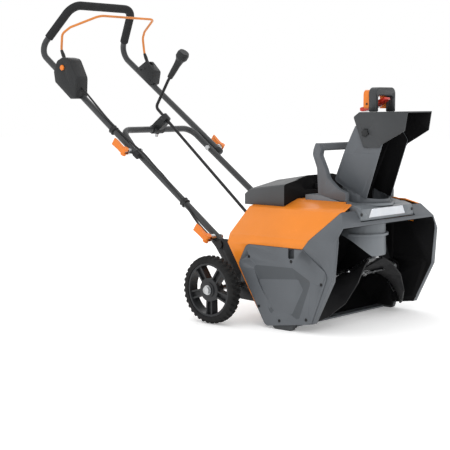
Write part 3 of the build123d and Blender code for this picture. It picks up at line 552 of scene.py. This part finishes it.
def make_handle_details():
    """Rubber boots on the bail, caps at the tube joints, cable clips, guide nut and box screws."""
    for side, label in ((-1, "right"), (1, "left")):
        low, high = at(side * 195, 1170, 777), at(side * 196, 1189, 816)
        boot = lathe(f"bail_boot_{label}", low, high - low, BOOT)
        finish_piece(f"bail_boot_{label}", boot, "dark_plastic", "bail")
        cap = lathe(f"tube_cap_{label}", at(side * 197, 824, 470.8), TUBE_WAY, TUBE_CAP)
        finish_piece(f"tube_cap_{label}", cap, "dark_plastic", "upper_handle")
    for label, body, place in CLIPS:
        band = lathe(f"cable_clip_{label}", at(*place), TUBE_WAY, CLIP)
        finish_piece(f"cable_clip_{label}", band, "dark_plastic", body)
    nut = lathe("guide_nut", at(0, 934, 536), (0, 0.25, -0.97), GUIDE_NUT, 24, 6, 0.1)
    finish_piece("guide_nut", nut, "bright_steel", "lower_handle")
    for k, (y, z) in enumerate(BOX_SCREW_PLACES):
        screw = lathe(f"box_screw_{k}", at(182.6, y, z), (-1, 0, 0), BOX_SCREW, 20)
        finish_piece(f"box_screw_{k}", screw, "black_steel", "upper_handle")


LEAD_RADIUS = 3.2
UPPER_LEAD = (
    (-206, 1078, 690), (-203, 1010, 630), (-200, 960, 586), (-198, 905, 546), (-197, 872, 523),
    (-196, 840, 503), (-192, 800, 476), (-187, 760, 440), (-186, 728, 416),
)
LOWER_LEAD = (
    (-186, 728, 416), (-186, 690, 384), (-189, 650, 350), (-191, 612, 315), (-188.5, 575, 274),
    (-180, 540, 240), (-174, 505, 209), (-171, 470, 187), (-169, 430, 178), (-168, 392, 178),
    (-167, 353, 182),
)
BELLOWS_ENDS = (0, 402, 183), (0, 500, 263.5)
BELLOWS_STEPS = 60
BELLOWS_PLAIN = 4
FOLD_STEPS = 6


def make_lead(name, corners, node):
    """A length of the switch cable, curved along a smooth route past a fold of the handle; it stays fixed
    when the handle folds.
    """
    route = smooth_route([at(*corner) for corner in corners])
    mesh = hose(name, route, [LEAD_RADIUS] * len(route))
    bent_piece(name, mesh, "dark_plastic", node)


def make_bellows():
    """The folded rubber sleeve over the flex coupling, plain at both ends."""
    low, high = (at(*end) for end in BELLOWS_ENDS)
    route = [low.lerp(high, k / BELLOWS_STEPS) for k in range(BELLOWS_STEPS + 1)]
    radii = []
    for k in range(BELLOWS_STEPS + 1):
        folded = BELLOWS_PLAIN < k < BELLOWS_STEPS - BELLOWS_PLAIN
        fold = 0.5 + 0.5 * math.cos(2 * math.pi * k / FOLD_STEPS)
        radii.append(9.5 + 2.6 * fold if folded else 9.6)
    bent_piece("coupling_bellows", hose("coupling_bellows", route, radii, 28), "rubber_blade",
               "rod_flex_coupling")


def make_hoses():
    make_lead("switch_lead_upper", UPPER_LEAD,
              "cable_upper")
    make_lead("switch_lead_lower", LOWER_LEAD,
              "cable_lower")
    make_bellows()


# ---------------------------------------------------------------- chute and hood
HOOD_KNOB = ((0, 9), (1, 12), (3.2, 12), (4.6, 9), (4.9, 4))
PANEL = ((46, 384), (52, 382), (97, 402), (129, 420), (132, 427), (106, 497), (4, 497), (3, 490))
PANEL_MIDDLE = (72, 445)
PANEL_DRAFT = 0.02
PANEL_FOOT, PANEL_FACE = 64.3, 65.3


def make_body_details():
    """Lobed knobs on the hood's pivots and a raised panel on each side of the chute."""
    middle_y, middle_z = PANEL_MIDDLE
    inner = [(y + PANEL_DRAFT * (middle_y - y), z + PANEL_DRAFT * (middle_z - z)) for y, z in PANEL]
    for side, label in ((-1, "right"), (1, "left")):
        place = at(side * 69.4, 38.5, 555.5)
        knob = lathe(f"hood_knob_{label}", place, (side, 0, 0), HOOD_KNOB, 60, 6, 0.22)
        finish_piece(f"hood_knob_{label}", knob, "dark_plastic", "hood")
        rings = [[at(side * PANEL_FOOT, y, z) for y, z in PANEL],
                 [at(side * PANEL_FACE, y, z) for y, z in inner]]
        panel = ring_mesh(f"chute_panel_{label}", rings)
        finish_piece(f"chute_panel_{label}", panel, "grey_shell", "chute")


# ---------------------------------------------------------------- second looks of painted shade, and rounded edges
def chamber_side(centre, normal):
    """The faces of the auger housing that look into the auger chamber; they are given painted shade."""
    x, y, z = local(centre)
    if abs(x) > 245.5 or (abs(x) > 240 and abs(normal.x) > 0.9):
        return x * normal.x < -1 and abs(x) < 248 and y > 6
    return y > 4 and z < 306 and (z < 240 or normal.z < 0.2)


def chute_inside(centre, normal):
    """The inner faces of the chute; they are given painted shade."""
    x, y, z = local(centre)
    if abs(normal.x) > 0.9:
        return x * normal.x < 0 and z > 372 and abs(x) < 63
    return abs(x) < 61.4 and y < 147 and normal.y < -0.1 and z > 372


def hood_inside(centre, normal):
    """The inner faces of the hood; they are given painted shade."""
    x, y, z = local(centre)
    if abs(normal.x) > 0.9:
        return x * normal.x < 0
    return normal.z < -0.5 and z > 596 or normal.y < -0.9 and y > 60


def cover_slope(centre, normal):
    """The slanted band around the sunk panel of a side cover; it is given painted shade."""
    x, y, z = local(centre)
    return 0.9 < abs(normal.x) < 0.9995 and abs(x) < 267.8 and 70 < y < 300 and 30 < z < 190


def lid_recess(centre, normal):
    """The sunk front of the battery lid around its latch; it is given painted shade."""
    x, y, z = local(centre)
    return 228 < y < 252 and abs(x) < 141 and z > 384


# Faces of each node given painted shade: near black inside the auger chamber, chute, hood and lid recess;
# a darker grey on the slanted bands of the side covers.
PAINTED_SHADE_SIDES = {"auger_housing": chamber_side, "chute_body": chute_inside, "chute_hood": hood_inside,
              "side_cover_right": cover_slope, "side_cover_left": cover_slope, "battery_lid": lid_recess}
PAINTED_SHADE_LOOKS = {"side_cover_right": "painted_shade_grey", "side_cover_left": "painted_shade_grey"}
# Nodes with curved faces, where only the steeper edges are rounded.
ROUNDED = ("chute_body", "chute_hood", "discharge_duct", "carry_handle")
ROUNDED_ANGLE = 32
PLAIN_ANGLE = 14

# How far the edges of each softened node are rounded, in metres.
SOFTENED = {
    "auger_housing": 0.0015, "rear_shroud": 0.0015, "side_cover_right": 0.0012, "side_cover_left": 0.0012,
    "top_deck": 0.0015, "carry_handle": 0.003, "chute_body": 0.0010, "chute_hood": 0.0010,
    "hood_handle": 0.003, "hood_handle_trim": 0.002, "battery_lid": 0.0015, "switch_box": 0.003,
    "bail_pivot_box": 0.003, "discharge_duct": 0.0008, "axle_brackets": 0.0008, "hood_trigger": 0.0015,
}
LOWER_FOLD_Y, LOWER_FOLD_Z = 478, 214
LOWER_BOLT_REACH = 13


def darken_lower_bolts():
    """Black steel for the bolts at the lower fold."""
    mesh = NODES["handle_bolts"].data
    mesh.materials.append(material("black_steel"))
    for polygon in mesh.polygons:
        _, y, z = local(polygon.center)
        polygon.material_index = int(math.hypot(y - LOWER_FOLD_Y, z - LOWER_FOLD_Z) < LOWER_BOLT_REACH)


# ---------------------------------------------------------------- make everything
make_camera()
make_studio()
make_floor()
paint_nodes()
for node_name, edge in SOFTENED.items():
    least_turn = ROUNDED_ANGLE if node_name in ROUNDED else PLAIN_ANGLE
    softened(node_name, edge, least_turn, PAINTED_SHADE_SIDES.get(node_name))
darken_lower_bolts()
make_tyre(-1, "right")
make_tyre(1, "left")
make_handle_details()
make_hoses()
make_body_details()
for node in NODES.values():
    if not node.hide_render:
        smooth_shading(node.data, CAD_SHARP)
